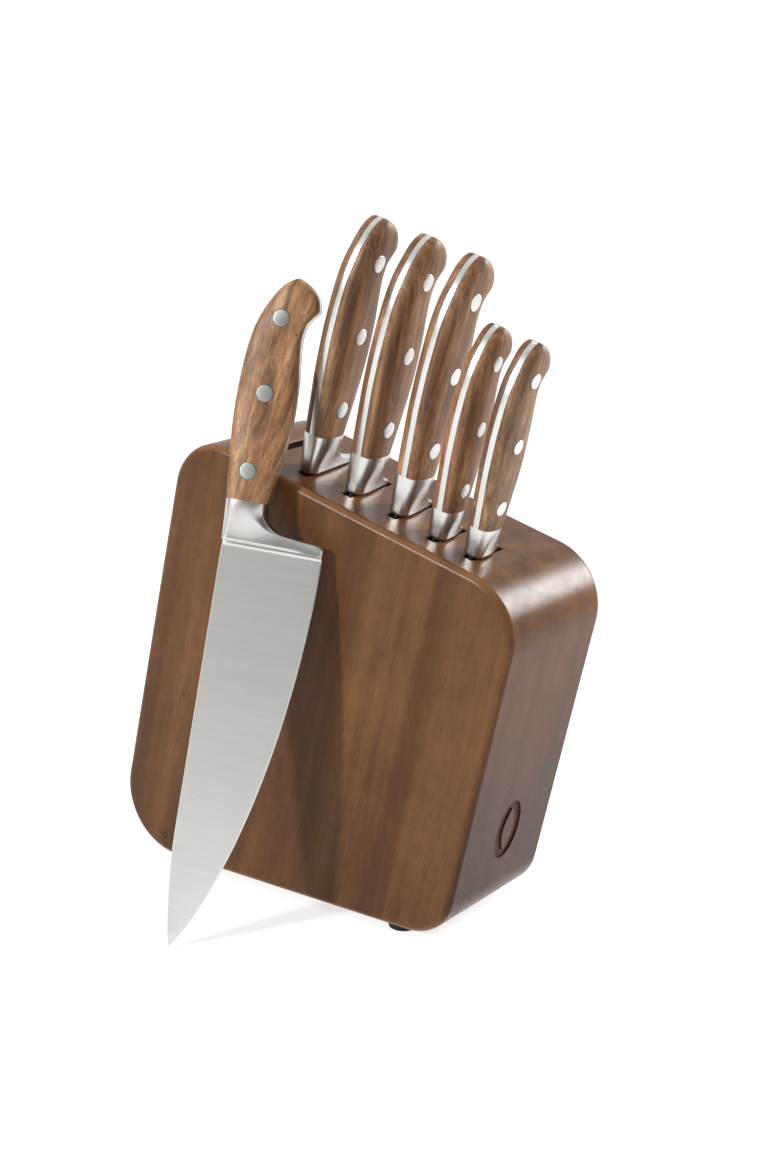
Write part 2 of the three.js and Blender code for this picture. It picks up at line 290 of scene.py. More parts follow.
def block_grain(s, grain):
    """Broad bands of tone, and growth rings where a slow noise crosses even steps."""
    along = s.place(grain, scale=(1, 1, 0.045))
    bands = s.noise(along, 62, 2, 0.5, 0.25)
    colour = s.ramp(bands, [(0.28, (0.078, 0.029, 0.009)), (0.46, (0.104, 0.042, 0.0135)),
                            (0.6, (0.126, 0.053, 0.017)), (0.76, (0.152, 0.067, 0.022))])
    steps = s.math("FRACT", s.math("MULTIPLY", s.noise(along, 75, 1, 0.4, 0.15), 14.0))
    rings = s.ramp(steps, [(0.0, 1.0), (0.07, 0.45), (0.22, 0.0), (0.96, 0.0), (1.0, 1.0)])
    ring_strength = s.ramp(s.noise(grain, 24, 2), [(0.38, 0.06), (0.62, 0.48)])
    return s.mix(s.math("MULTIPLY", rings, ring_strength), colour, (0.05, 0.015, 0.006))


def stave_marks(s, colour, where, grain):
    """A tone for each glued stave, a redder strip by the last one, and a small knot low on the left."""
    across = s.axis(s.place(where, rotation=(0, -TOP_SLOPE, 0)), 0)
    stops = [(max(0.0, line / TOP_SPAN), tone) for line, tone in zip([0, *GLUE_LINES], STAVE_TONES)]
    share = s.share(across, STAVE_START * MM, TOP_SPAN * MM)
    colour = s.multiply(colour, s.ramp(share, stops, "CONSTANT"))
    strip_frame = s.place(where, rotation=(0, -STRIP_LEAN, 0))
    from_strip = s.math("SUBTRACT", s.axis(strip_frame, 0), STRIP_AT)
    along = s.place(grain, scale=(1, 1, 0.045))
    wander = s.math("MULTIPLY", s.math("SUBTRACT", s.noise(along, 90, 2), 0.5), 0.004)
    from_strip = s.math("ABSOLUTE", s.math("ADD", from_strip, wander))
    strip = s.ramp(s.share(from_strip, 0.0, 0.01), [(0.0, 0.72), (0.22, 0.66), (0.29, 0.0)])
    colour = s.mix(strip, colour, (0.084, 0.028, 0.0085))
    reach = s.add("VectorMath", {"operation": "DISTANCE"}, _0=where, _1=KNOT).outputs["Value"]
    ring = [(0.24, 0.15), (0.33, 0.9), (0.45, 0.9), (0.55, 0.0)]
    return s.mix(s.ramp(s.share(reach, 0.0, 0.004), ring), colour, (0.03, 0.015, 0.01))


def block_wear_and_painted_light(s, colour, where, grain):
    """Stain rubbed thin on the level rounded edges, with a painted highlight on them; painted shade on both
    sides, darker towards the bottom; and painted shade darkening the whole block towards its foot.
    """
    from_front = s.math("DIVIDE", s.axis(where, 1), BLOCK["depth"] * MM, clamp=True)
    # Lighter on the rounded front and back edges: rubbed stain and a painted highlight, kept faint on the
    # upright edges.
    worn_and_highlight_edges = s.ramp(from_front, [(0.0, 0.0), (0.006, 0.5), (0.022, 0.9), (0.045, 0.0),
                                (0.955, 0.0), (0.978, 0.9), (0.994, 0.5), (1.0, 0.0)])
    worn_and_highlight = s.math("MULTIPLY", worn_and_highlight_edges, s.ramp(s.noise(where, 60, 3), [(0.3, 0.25), (0.7, 0.65)]))
    middle_side, half_side = (SIDE_LEFT + SIDE_RIGHT) / 2 * MM, (SIDE_RIGHT - SIDE_LEFT) / 2 * MM
    outwards = s.math("ABSOLUTE", s.math("SUBTRACT", s.axis(grain, 0), middle_side))
    upright_edge = s.share(outwards, half_side - 0.014, 0.012)
    worn_and_highlight = s.math("MULTIPLY", worn_and_highlight, s.ramp(upright_edge, [(0.0, 1.0), (1.0, 0.12)]))
    colour = s.mix(worn_and_highlight, colour, WORN_WOOD_AND_HIGHLIGHT)
    # Painted shade: both sides of the block darker and greyer, more so towards the bottom.
    side_shade_mask = s.ramp(s.share(outwards, half_side - 0.004, 0.004), [(0.0, 0.0), (0.9, 1.0)])
    upwards = s.math("DIVIDE", s.axis(where, 2), 0.2, clamp=True)
    side_shade_tone = s.ramp(upwards, [(0.05, (0.34, 0.24, 0.2)), (0.35, (0.52, 0.42, 0.38)),
                                 (0.75, (0.76, 0.69, 0.66))])
    colour = s.mix(side_shade_mask, colour, s.multiply(colour, side_shade_tone))
    # Painted shade: the whole block darker towards its foot.
    return s.multiply(colour, s.ramp(upwards, [(0.0, 0.82), (0.6, 1.0)]))


def block_wood():
    """Stained hardwood staves under a satin lacquer, with the grain along the block's lean."""
    s = Shader("block_wood")
    where = s.own_place()
    grain = s.place(where, rotation=(0, -LEAN, 0))
    colour = stave_marks(s, block_grain(s, grain), where, grain)
    # Uneven stain, ripples, fibres and short open pores.
    colour = s.multiply(colour, s.ramp(s.noise(grain, 17, 4, 0.55), [(0.3, 0.78), (0.7, 1.17)]))
    ripple = s.noise(s.place(grain, scale=(1, 1, 0.6)), 190, 3, 0.6)
    colour = s.multiply(colour, s.ramp(ripple, [(0.3, 0.88), (0.7, 1.1)]))
    fibre = s.noise(s.place(grain, scale=(1, 1, 0.03)), 1500, 3, 0.6)
    colour = s.multiply(colour, s.ramp(fibre, [(0.3, 0.82), (0.7, 1.1)]))
    pores = s.ramp(s.noise(s.place(grain, scale=(1, 1, 0.05)), 1500, 1, 0.4), [(0.66, 0.0), (0.7, 1.0)])
    patches = s.ramp(s.noise(grain, 75, 2), [(0.45, 0.0), (0.6, 1.0)])
    spots = s.math("MULTIPLY", pores, patches)
    colour = s.mix(s.math("MULTIPLY", spots, 0.55), colour, (0.04, 0.016, 0.008))
    s.put(s.surface.inputs["Base Color"], block_wear_and_painted_light(s, colour, where, grain))
    s.put(s.surface.inputs["Roughness"], s.ramp(s.noise(grain, 240, 3), [(0.3, 0.27), (0.7, 0.34)]))
    s.surface.inputs["Specular IOR Level"].default_value = 0.17
    height = s.math("SUBTRACT", s.math("MULTIPLY", fibre, 0.35), spots)
    s.put(s.surface.inputs["Normal"], s.bump(height, 0.2, 0.00002))
    return s.material


# One tone and one turn of the grain, in degrees, for each knife; the chef's knife comes last.
HANDLE_TONES = [
    (0.86, 0.84, 0.82),
    (0.92, 0.9, 0.86),
    (1.02, 0.97, 0.9),
    (0.92, 0.84, 0.76),
    (0.8, 0.83, 0.8),
    (1.42, 1.42, 1.36),
]
GRAIN_TURNS = [3, -5, 4, -3, 6, 8]


def handle_wood(seed):
    """Oiled walnut with long dark streaks and open pores, grain along the handle."""
    s = Shader(f"handle_wood_{seed}")
    turn = math.radians(GRAIN_TURNS[seed])
    shift = (0.31 * seed, 0.17 * seed, 0.23 * seed)
    grain = s.place(s.own_place(), rotation=(turn, 0.03 * seed, 0), shift=shift)
    streaks = s.noise(s.place(grain, scale=(1, 1, 0.065)), 190, 4, 0.62, 0.5)
    colour = s.ramp(streaks, [(0.27, (0.06, 0.025, 0.011)), (0.4, (0.145, 0.066, 0.029)),
                              (0.54, (0.24, 0.12, 0.056)), (0.75, (0.4, 0.23, 0.12))])
    lines = s.noise(s.place(grain, scale=(1, 1, 0.055)), 820, 3, 0.6)
    colour = s.multiply(colour, s.ramp(lines, [(0.34, 0.7), (0.5, 1.0), (0.66, 1.22)]))
    figure = s.noise(s.place(grain, scale=(1, 1, 0.3)), 48, 3, 0.5, 0.6)
    colour = s.multiply(colour, s.ramp(figure, [(0.3, 0.78), (0.5, 1.0), (0.72, 1.14)]))
    fibre = s.noise(s.place(grain, scale=(1, 1, 0.05)), 1700, 3, 0.65)
    colour = s.multiply(colour, s.ramp(fibre, [(0.3, 0.8), (0.7, 1.14)]))
    pores = s.ramp(s.noise(s.place(grain, scale=(1, 1, 0.06)), 2200, 1, 0.4), [(0.61, 0.0), (0.67, 1.0)])
    patches = s.ramp(s.noise(grain, 120, 2), [(0.35, 0.3), (0.6, 1.0)])
    spots = s.math("MULTIPLY", pores, patches)
    colour = s.mix(s.math("MULTIPLY", spots, 0.7), colour, (0.045, 0.02, 0.012))
    s.put(s.surface.inputs["Base Color"], s.multiply(colour, HANDLE_TONES[seed]))
    s.put(s.surface.inputs["Roughness"], s.ramp(fibre, [(0.3, 0.42), (0.7, 0.52)]))
    s.surface.inputs["Specular IOR Level"].default_value = 0.4
    height = s.math("SUBTRACT", s.math("MULTIPLY", fibre, 0.4), spots)
    s.put(s.surface.inputs["Normal"], s.bump(height, 0.4, 0.0001))
    return s.material


def steel(name, colour, roughness, stretch, line_scale, contrast, bump_depth):
    """Ground steel. stretch squeezes the noise along X, Y and Z of the knife into lines."""
    s = Shader(name)
    drawn_out = s.place(s.own_place(), scale=stretch)
    lines = s.noise(drawn_out, line_scale, 4, 0.65)
    broad = s.noise(drawn_out, line_scale * 0.13, 3, 0.55)
    tint = s.ramp(lines, [(0.3, 1.0 - contrast), (0.7, 1.0 + contrast)])
    clouds = s.ramp(broad, [(0.3, 1.0 - contrast * 0.15), (0.7, 1.0 + contrast * 0.15)])
    s.put(s.surface.inputs["Base Color"], s.multiply(s.multiply(colour, tint), clouds))
    s.surface.inputs["Metallic"].default_value = 1.0
    smear = s.ramp(broad, [(0.3, roughness - 0.006), (0.7, roughness + 0.006)])
    s.put(s.surface.inputs["Roughness"], smear)
    s.put(s.surface.inputs["Normal"], s.bump(lines, 0.35, bump_depth))
    return s.material


def plain(name, colour, roughness):
    """A dull material with a fine even grain: rubber, worn and pressed wood, and the near-black painted
    shade inside the slots and round the rivet heads.
    """
    s = Shader(name)
    grain = s.noise(s.own_place(), 900, 4, 0.6)
    dark = tuple(c * 0.8 for c in colour)
    s.put(s.surface.inputs["Base Color"], s.ramp(grain, [(0.3, dark), (0.7, colour)]))
    s.put(s.surface.inputs["Roughness"], s.ramp(grain, [(0.3, roughness - 0.05), (0.7, roughness + 0.05)]))
    s.surface.inputs["Specular IOR Level"].default_value = 0.2
    s.put(s.surface.inputs["Normal"], s.bump(grain, 0.4, 0.00008))
    return s.material


# ---------------------------------------------------------------- block
BLOCK = {"width": 224.0, "right_side": 192.0, "depth": 83.0, "bottom": 4.0, "round_over": 4.0}
CORNER_RADII = [34.5, 27.5, 31.5, 29.0]  # bottom left, bottom right, top right, top left
SLOT_HALF_WIDTH = 2.8
# Middle along the top, front end, back end, depth.
SLOTS = [
    (42, 14.8, 68.8, 214),
    (69.5, 15, 62.8, 190),
    (97.5, 16.4, 51.8, 214),
    (125.5, 17.6, 52.4, 214),
    (152.5, 14.3, 42.3, 142),
    (174.5, 15, 42.3, 102),
]
GLUE_LINES = [centre - SLOT_HALF_WIDTH for centre, *_ in SLOTS]

lean_axis = Vector((math.sin(LEAN), math.cos(LEAN)))
top_axis = Vector((math.cos(TOP_SLOPE), -math.sin(TOP_SLOPE)))


def cross(a, b):
    return a.x * b.y - a.y * b.x


def block_corners():
    bottom_left = Vector((0, BLOCK["bottom"]))
    bottom_right = Vector((BLOCK["width"], BLOCK["bottom"]))
    top_right = bottom_right + lean_axis * BLOCK["right_side"]
    top_length = cross(top_right - bottom_left, lean_axis) / cross(top_axis, lean_axis)
    return [bottom_left, bottom_right, top_right, top_right - top_axis * top_length]


CORNERS = block_corners()
TOP_LEFT = CORNERS[3]
# Where the two sides lie across the leaning grain, and where the first stave starts along the top.
SIDE_LEFT, SIDE_RIGHT = (
    corner.x * math.cos(LEAN) - corner.y * math.sin(LEAN) for corner in CORNERS[:2]
)
STAVE_START = TOP_LEFT.x * math.cos(TOP_SLOPE) - TOP_LEFT.y * math.sin(TOP_SLOPE)
TOP_FRAME = Matrix(((top_axis.x, 0, -top_axis.y, TOP_LEFT.x), (0, 1, 0, 0),
                    (top_axis.y, 0, top_axis.x, TOP_LEFT.y), (0, 0, 0, 1)))


def block_outline(inset, steps=18):
    """The front outline as (x, z) points, moved inwards by inset."""
    points = []
    for i, corner in enumerate(CORNERS):
        to_before = (CORNERS[i - 1] - corner).normalized()
        to_after = (CORNERS[(i + 1) % 4] - corner).normalized()
        half_angle = math.acos(to_before.dot(to_after)) / 2
        centre = corner + (to_before + to_after).normalized() * CORNER_RADII[i] / math.sin(half_angle)
        reach = CORNER_RADII[i] / math.tan(half_angle)
        first = corner + to_before * reach - centre
        start = math.atan2(first.y, first.x)
        sweep = math.pi - 2 * half_angle
        for k in range(steps + 1):
            angle = start + sweep * k / steps
            radius = CORNER_RADII[i] - inset
            points.append(centre + Vector((math.cos(angle), math.sin(angle))) * radius)
    return points


MOUTH_BEVEL = 0.55
ABOVE_TOP = 1.5  # how far the cutters stand above the top


def slot_cutters():
    """Six flat grooves down from the top, each with a small bevel round its mouth."""
    surface = Surface()
    for centre, front, back, depth in SLOTS:
        rings = []
        for z, grow in ((-depth, 0), (-MOUTH_BEVEL, 0), (ABOVE_TOP, MOUTH_BEVEL + ABOVE_TOP)):
            left, right = centre - SLOT_HALF_WIDTH - grow, centre + SLOT_HALF_WIDTH + grow
            near, far = front - grow, back + grow
            ring = [(left, near), (right, near), (right, far), (left, far)]
            rings.append([tuple(TOP_FRAME @ Vector((x, y, z))) for x, y in ring])
        surface.loft(rings)
        surface.slots[-6:-2] = [1, 1, 1, 1]  # the four bevel faces, before the two ends
    return surface


LEAF = {"half_width": 4.6, "half_height": 12.5, "taper": 0.55}
RECESS = {"half_width": 10.5, "half_height": 17.0, "depth": 1.1, "up_the_side": 52}


def leaf_cutter():
    """A shallow oval recess low on the right side, with a plain leaf left standing in it."""
    side_normal = Vector((math.cos(LEAN), 0, -math.sin(LEAN)))
    up = Vector((math.sin(LEAN), 0, math.cos(LEAN)))
    back = Vector((0, 1, 0))
    foot_of_side = Vector((CORNERS[1].x, BLOCK["depth"] / 2, CORNERS[1].y))
    middle_point = foot_of_side + up * RECESS["up_the_side"]
    count = 48
    outer, inner = [], []
    for k in range(count):
        angle = 2 * math.pi * k / count
        across, along = math.cos(angle), math.sin(angle)
        outer.append((RECESS["half_width"] * across, RECESS["half_height"] * along))
        narrowing = 1 - abs(along) ** 1.6 * LEAF["taper"]
        inner.append((LEAF["half_width"] * across * narrowing, LEAF["half_height"] * along))
    rings = []
    floor, above = -RECESS["depth"], 1.0
    for outline, lift in ((inner, floor), (outer, floor), (outer, above), (inner, above)):
        rings.append([tuple(middle_point + back * a + up * b + side_normal * lift) for a, b in outline])
    surface = Surface()
    start = surface.grid(rings, closed=True)
    last = start + 3 * count
    for k in range(count):
        following = (k + 1) % count
        surface.faces.append((last + k, last + following, start + following, start + k))
        surface.slots.append(0)
    return surface


def build_block(wood, slot_shade, worn_wood, pressed_wood):
    """The outline drawn back to front with rounded edges, then cut by the slots and the recess."""
    radius, depth = BLOCK["round_over"], BLOCK["depth"]
    steps = 10
    profile = []
    for k in range(steps + 1):
        angle = math.pi / 2 * k / steps
        profile.append((radius * (1 - math.sin(angle)), radius * (1 - math.cos(angle))))
    profile += [(inset, depth - y) for inset, y in reversed(profile)]
    surface = Surface()
    surface.loft([[(p.x, y, p.y) for p in block_outline(inset)] for inset, y in profile])
    block = make_object("block", surface, [wood])
    # The near-black slot walls are painted shade; the bevels round the mouths take the worn wood.
    cuts = (("slots", slot_cutters(), [slot_shade, worn_wood]), ("leaf", leaf_cutter(), [pressed_wood]))
    for name, cutter_surface, cut_materials in cuts:
        cutter = make_object(name, cutter_surface, cut_materials)
        cut = block.modifiers.new(name, "BOOLEAN")
        cut.operation = "DIFFERENCE"
        cut.solver = "EXACT"
        cut.material_mode = "TRANSFER"
        cut.object = cutter
        apply_modifiers(block)
        bpy.data.objects.remove(cutter)
    block.data.set_sharp_from_angle(angle=math.radians(30))
    weighted = block.modifiers.new("weighted", "WEIGHTED_NORMAL")
    weighted.keep_sharp = True
    apply_modifiers(block)
    if "own" in block.data.attributes:
        block.data.attributes.remove(block.data.attributes["own"])
    note_own_frame(block.data, BLOCK_PLACE)
    return settle(block, "block", "block_wood", *(f"block_stave_{i + 1}" for i in range(7)))


def build_feet(material):
    """Round rubber pads with a soft rim and a slightly hollow face."""
    radius, height = FOOT["radius"], FOOT["height"]
    profile = [(radius - 3.2, 0.25), (radius - 2.7, 0.0), (radius - 1.0, 0.0), (radius - 0.35, 0.3),
               (radius - 0.05, 0.95), (radius, 1.6), (radius - 0.25, height)]
    count = 40
    angles = [2 * math.pi * k / count for k in range(count)]
    for name, (x, y) in FOOT_PLACES.items():
        rings = [[(r * math.cos(a), r * math.sin(a), z) for a in angles] for r, z in profile]
        surface = Surface()
        surface.loft(rings)
        place = BLOCK_PLACE @ Matrix.Translation((x * MM, y * MM, 0))
        foot = make_object(f"{name}_pad", surface, [material], place, math.radians(60))
        settle(foot, "block", "foot_rubber", name)


# ---------------------------------------------------------------- knives
# Height above the wood line, spine, belly, share of the full thickness, before scaling.
HANDLE_ROWS = [
    (0, -8.9, 12, 0.95),
    (18, -11.6, 14, 0.98),
    (40, -14.4, 15.5, 1),
    (60, -15.4, 14.4, 1),
    (73, -15.1, 12.4, 1),
    (84, -13.9, 11.2, 1),
    (90.5, -12.4, 11.9, 1),
    (94.5, -11.1, 14.4, 1),
    (98.4, -9.5, 17.1, 0.985),
    (103, -7.1, 16.1, 0.96),
    (107.5, -4.2, 13.1, 0.9),
    (110.3, -1.6, 9.9, 0.8),
    (111.8, 0.5, 7.4, 0.68),
    (112.5, 2.0, 5.6, 0.6),
]
HANDLE_LENGTH = HANDLE_ROWS[-1][0]
SPINE_AT_WOOD, BELLY_AT_WOOD, SHARE_AT_WOOD = HANDLE_ROWS[0][1:]
SPINE_AT_BLADE = -6.9
RIVET_ACROSS = 0.4
# Height of the bolster's flare at the blade's heel, and share of the full lip under it.
HEELS = {"deep blade": (4.6, 1.0), "narrow blade": (1.8, 0.6)}
DEEP_BLADE = 50  # blade height from which the heel is a deep blade's
TUCKED = 2.5  # half thickness of a bolster where it enters the block
FOOT_ROUNDING = 1.3
HEEL_ROUNDING = 2.2
TANG_HALF = 1.5
# The belly side of the bolster, down from the wood line and outwards, before scaling.
FLARE = [(0, 0), (5.8, 0.8), (9.6, 3.3), (12.4, 7.2), (14.0, 12.5), (15.1, 20.5), (16.4, 33.1)]
# Height and half thickness of the soft lip below the shoulder, where the forging thins to the blade.
LIP = [(-0.15, 2.5), (-0.4, 2.46), (-0.7, 2.52), (-1.1, 2.5), (-1.5, 2.4), (-1.9, 2.2), (-2.25, 1.9),
       (-2.5, 1.55), (-2.65, 1.2)]

LARGE = {"scale": 1.0, "length": 111.6, "tilt": math.radians(3.2), "half": 8.3, "bolster": 21.0,
         "rivet": 4.3, "rivets": (14.8, 53.8, 91.4)}
SMALL = {"scale": 0.83, "length": 93.3, "tilt": math.radians(0.6), "half": 7.2, "bolster": 15.5,
         "rivet": 3.75, "rivets": (11.5, 43.8, 77.0)}

# Scallops of the bread knife's edge.
SCALLOP = {"length": 6.5, "depth": 1.1, "start": 14}

# slot index, middle of the handle from the block's front, blade: length, height, how far the tip
# lies from the spine line, and the straight shares of the spine and the edge.
KNIVES = {
    "santoku_knife": (LARGE, 1, 24.0, (178, 42.5, 34, 0.72, 0.3)),
    "bread_knife": (LARGE, 2, 26.8, (203, 30, 20, 0.84, 0.8)),
    "carving_knife": (LARGE, 3, 28.0, (203, 29.5, 5, 0.7, 0.3)),
    "utility_knife": (SMALL, 4, 23.0, (130, 22.5, 7, 0.6, 0.35)),
    "paring_knife": (SMALL, 5, 23.2, (90, 22, 10, 0.5, 0.3)),
}
CHEF_BLADE = (208, 52, 6, 0.7, 0.05)


class Handle:
    """The handle's outer form: spine, belly and half thickness at each height."""

    def __init__(self, sizes):
        self.sizes = sizes
        heights = [row[0] for row in HANDLE_ROWS]
        self.curves = [smooth_curve(heights, [row[k] for row in HANDLE_ROWS]) for k in (1, 2, 3)]

    def at(self, z):
        """Middle, half width and half thickness at a height above the bolster's foot."""
        sizes = self.sizes
        height = (z - sizes["bolster"]) * HANDLE_LENGTH / sizes["length"]
        spine, belly, share = (float(curve(height)) for curve in self.curves)
        middle_y = (spine + belly) / 2 * sizes["scale"] + z * math.tan(sizes["tilt"])
        return middle_y, (belly - spine) / 2 * sizes["scale"], sizes["half"] * share

    def flank(self, y, z):
        """Half thickness of the handle at a point of its side."""
        middle_y, half_width, half = self.at(z)
        across = min(abs(y - middle_y) / half_width, 0.999)
        return half * (1 - across**2) ** 0.25

    def levels(self, count=76):
        base = self.sizes["bolster"]
        return [base + self.sizes["length"] * math.sin(math.pi / 2 * k / count) for k in range(count + 1)]

    def rings(self, section):
        """section(z, shrink) at every level, then drawn together into a low dome over the butt."""
        rings = [section(z, 1.0) for z in self.levels()]
        top = self.levels()[-1]
        for k in range(1, 6):
            angle = math.pi / 2 * k / 6
            rings.append(section(top + 0.55 * math.sin(angle), math.cos(angle)))
        return rings


def scale_surface(handle, side):
    inner = TANG_HALF + 0.06
    count = 30

    def section(z, shrink):
        middle_y, half_width, half = handle.at(min(z, handle.levels()[-1]))
        half_width *= shrink
        half = max(half * shrink, inner + 0.15)
        start = math.asin(min((inner / half) ** 2, 1.0))
        ring = []
        for k in range(count):
            angle = start + (math.pi - 2 * start) * ease(k / (count - 1))
            x = half * math.sin(angle) ** 0.5
            ring.append((side * x, middle_y - half_width * math.cos(angle), z))
        y0, y1 = ring[0][1], ring[-1][1]
        soften = 0.12
        ring[0] = (side * inner, y0 + soften, z)
        ring[-1] = (side * inner, y1 - soften, z)
        return ring if side < 0 else ring[::-1]

    surface = Surface()
    surface.loft(handle.rings(section))
    return surface


def add_tang(surface, handle):
    def section(z, shrink):
        middle_y, half_width, half = handle.at(min(z, handle.levels()[-1]))
        half_width *= shrink
        edge = half_width * (1 - (TANG_HALF / max(half, 2.0)) ** 4) ** 0.5
        proud = 0.04
        ring = [(-TANG_HALF, -edge), (-TANG_HALF + 0.25, -edge - proud), (TANG_HALF - 0.25, -edge - proud),
                (TANG_HALF, -edge), (TANG_HALF, edge), (TANG_HALF - 0.25, edge + proud),
                (-TANG_HALF + 0.25, edge + proud), (-TANG_HALF, edge)]
        return [(x, middle_y + y, z) for x, y in ring]

    surface.loft(handle.rings(section), slot=1)


def rim(distance, radius):
    """Share of the full thickness at a distance from a rounded rim."""
    return (1 - (1 - min(max(distance / radius, 0.0), 1.0)) ** 2) ** 0.25


class Bolster:
    """The forged shoulder between handle and blade: spine, edge and thickness at each height."""

    def __init__(self, handle, blade_height, heel, lip):
        sizes = handle.sizes
        self.heel, self.lip = heel, lip
        self.scale, self.top = sizes["scale"], sizes["bolster"]
        self.lean = math.tan(sizes["tilt"])
        self.spine_foot = SPINE_AT_BLADE * self.scale
        self.edge_foot = self.spine_foot + blade_height
        self.flat = sizes["half"] * SHARE_AT_WOOD
        self.wide = (BELLY_AT_WOOD - SPINE_AT_WOOD) / 2 * self.scale
        start, end = self.spine_foot, self.edge_foot
        self.lens = smooth_curve(
            [start, start + 1.2, start + 3.2, start + 7, start + 11, (start + 11 + end) / 2, end],
            [5.0, 5.3, 5.4, 5.3, 4.9, 3.5, 1.5],
        )
        self.body = smooth_curve([6 * self.scale, 14 * self.scale, 26, 60], [1.0, 0.72, 0.5, 0.4])

    def ring(self, z, edge, count=34):
        """A closed ring from the spine to an edge place and back, round at both ends."""
        share = ease(min(max(z / self.top, 0.0), 1.0))
        spine = self.spine_foot + (SPINE_AT_WOOD * self.scale - self.spine_foot) * z / self.top
        spine_round = 3.0 + (self.wide - 3.0) * share
        edge_round = 1.6 + (self.wide - 1.6) * share**1.3
        tuck = math.sqrt(max(0.0, 1 - max(0.0, 1 - z / FOOT_ROUNDING) ** 2))
        near, far = [], []
        for k in range(count + 1):
            y = spine + (edge - spine) * (1 - math.cos(math.pi * ease(k / count))) / 2
            body = float(self.body(y)) if share < 1 else 1.0
            full = share * self.flat * (body + (1 - body) * share**2) + (1 - share) * float(self.lens(y))
            full = min(full, TUCKED) + max(full - TUCKED, 0) * tuck
            x = full * rim(y - spine, spine_round) * rim(edge - y, edge_round)
            near.append((x, y + z * self.lean, z))
            far.append((-x, y + z * self.lean, z))
        return near + far[-2:0:-1]

    def bead_ring(self, z, half, count=34):
        """A ring of the lip under the shoulder, thinner towards both of its ends."""
        start, end = self.spine_foot + 0.15, self.edge_foot + 0.1
        near, far = [], []
        for k in range(count + 1):
            y = start + (end - start) * (1 - math.cos(math.pi * ease(k / count))) / 2
            x = half * self.lip * (0.35 + 0.65 * rim(y - start, 6)) * rim(y - start, 0.8)
            x *= (1 - 0.45 * (y - start) / (end - start)) * rim(end - y, 0.8)
            near.append((x, y, z))
            far.append((-x, y, z))
        return near + far[-2:0:-1]

    def rings(self):
        """From the wood line down the flare, round the heel, down to the blade and over the lip."""
        start = BELLY_AT_WOOD * self.scale
        reach = self.edge_foot - start
        deepest = self.top - self.heel
        whole_drop, whole_reach = FLARE[-1]
        fall = smooth_curve(
            [out / whole_reach for _, out in FLARE],
            [drop * deepest / whole_drop for drop, _ in FLARE],
        )
        nose = min(HEEL_ROUNDING, self.heel - 0.2)
        steps = 48
        rings = []
        for k in range(steps + 1):
            outwards = (k / steps) ** 2.1 * (reach - nose)
            rings.append(self.ring(self.top - float(fall(outwards / reach)), start + outwards))
        heel = self.top - float(fall(1 - nose / reach))
        quarter_turn = [math.pi / 2 * k / 8 for k in range(1, 9)]
        for angle in quarter_turn:
            edge = self.edge_foot - nose + nose * math.sin(angle)
            rings.append(self.ring(heel - nose * (1 - math.cos(angle)), edge))
        low, bottom = heel - nose, 0.1
        if low > bottom:
            levels = [low + (bottom - low) * math.sin(angle) for angle in quarter_turn]
            rings += [self.ring(level, self.edge_foot) for level in levels]
        return rings + [self.bead_ring(z, half) for z, half in LIP]


def bezier(points, count):
    """Points along a curve of three or four control points."""
    t = np.linspace(0, 1, count)[:, None]
    p = np.array(points, float)
    if len(p) == 3:
        return (1 - t) ** 2 * p[0] + 2 * t * (1 - t) * p[1] + t**2 * p[2]
    return (1 - t) ** 3 * p[0] + 3 * t * (1 - t) ** 2 * p[1] + 3 * t**2 * (1 - t) * p[2] + t**3 * p[3]


def add_blade(surface, handle, blade, serrated):
    """The flanks taper from the spine to the edge and to the tip, and end in a ground bevel."""
    length, height, tip_across, spine_straight, edge_straight = blade
    spine = SPINE_AT_BLADE * handle.sizes["scale"]
    edge = spine + height
    tip = (spine + tip_across, -length)
    spine_end, edge_end = -length * spine_straight, -length * edge_straight
    back = bezier([(spine, spine_end), (spine, (spine_end - length) / 2), tip], 60)
    curved = length + edge_end
    belly = bezier([tip, (spine + tip_across * 0.4 + height * 0.6, edge_end - curved * 0.8),
                    (edge - height * 0.02, edge_end - curved * 0.38), (edge, edge_end)], 80)
    levels = [-2.4 - (length - 2.5) * math.sin(math.pi / 2 * k / 150) for k in range(150)] + [-length + 0.02]
    rows = {"spine": [], "right": [], "left": [], "right_bevel": [], "left_bevel": []}
    for z in levels:
        y_spine = float(np.interp(z, back[::-1, 1], back[::-1, 0]))
        y_edge = float(np.interp(z, belly[:, 1], belly[:, 0]))
        if serrated and z < -SCALLOP["start"]:
            fading = min(1.0, (length + z) / 20)
            y_edge -= SCALLOP["depth"] * abs(math.sin(math.pi * z / SCALLOP["length"])) ** 0.7 * fading
        width = max(y_edge - y_spine, 0.02)
        thick = 1.15 - 0.6 * (-z / length) ** 1.5
        thick *= min(1.0, (width / 6) ** 0.5)
        bevel = min(2.2 if serrated else 0.6, width * 0.3)
        thin = min(0.24, thick * 0.6)
        flank = []
        for t in np.linspace(0, 1, 9):
            y = y_spine + 0.25 * min(width, 1) * (1 - t) + (width - bevel) * t
            flank.append((thick + (thin - thick) * t, y))
        rows["right"].append([(x, y, z) for x, y in flank])
        rows["left"].append([(-x, y, z) for x, y in reversed(flank)])
        x0, y0 = flank[0]
        rows["spine"].append([(-x0, y0, z), (-x0 * 0.75, y_spine, z), (x0 * 0.75, y_spine, z), (x0, y0, z)])
        x1, y1 = flank[-1]
        rows["right_bevel"].append([(x1, y1, z), (0.03, y_edge, z)])
        rows["left_bevel"].append([(-0.03, y_edge, z), (-x1, y1, z)])
    for name, grid_rows in rows.items():
        surface.grid(grid_rows[::-1], slot=2 if "bevel" in name else 0)


